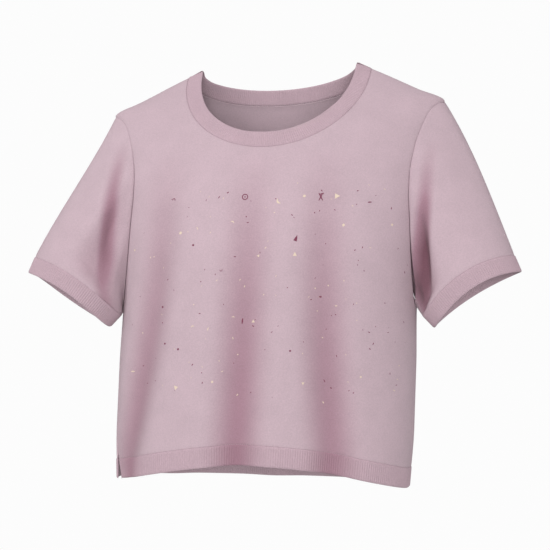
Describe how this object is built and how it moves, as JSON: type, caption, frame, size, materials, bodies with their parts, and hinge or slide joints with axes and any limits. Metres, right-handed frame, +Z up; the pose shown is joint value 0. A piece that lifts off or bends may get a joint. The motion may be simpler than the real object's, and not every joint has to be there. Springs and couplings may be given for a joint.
{
  "type": "crop top",
  "caption": "Hollow knitted crop top, filled out as worn, with short sleeves and ribbed neckband, cuffs and hem.",
  "frame": {"origin": "midway between the two points where the shoulder seams meet the neck opening, where the wearer's shoulders hold the garment", "axes": "+X to the wearer's left, -Y out of the chest, +Z up"},
  "size_m": [0.5738, 0.1992, 0.5035],
  "materials": {
    "jersey": "matte fine knit",
    "rib": "matte 1x1 rib knit"
  },
  "bodies": {
    "root": {"front": "jersey", "back": "jersey", "sleeve_left": "jersey", "sleeve_right": "jersey", "neckband": "rib", "cuff_left": "rib", "cuff_right": "rib", "hem_front": "rib", "hem_back": "rib"}
  },
  "joints": []
}
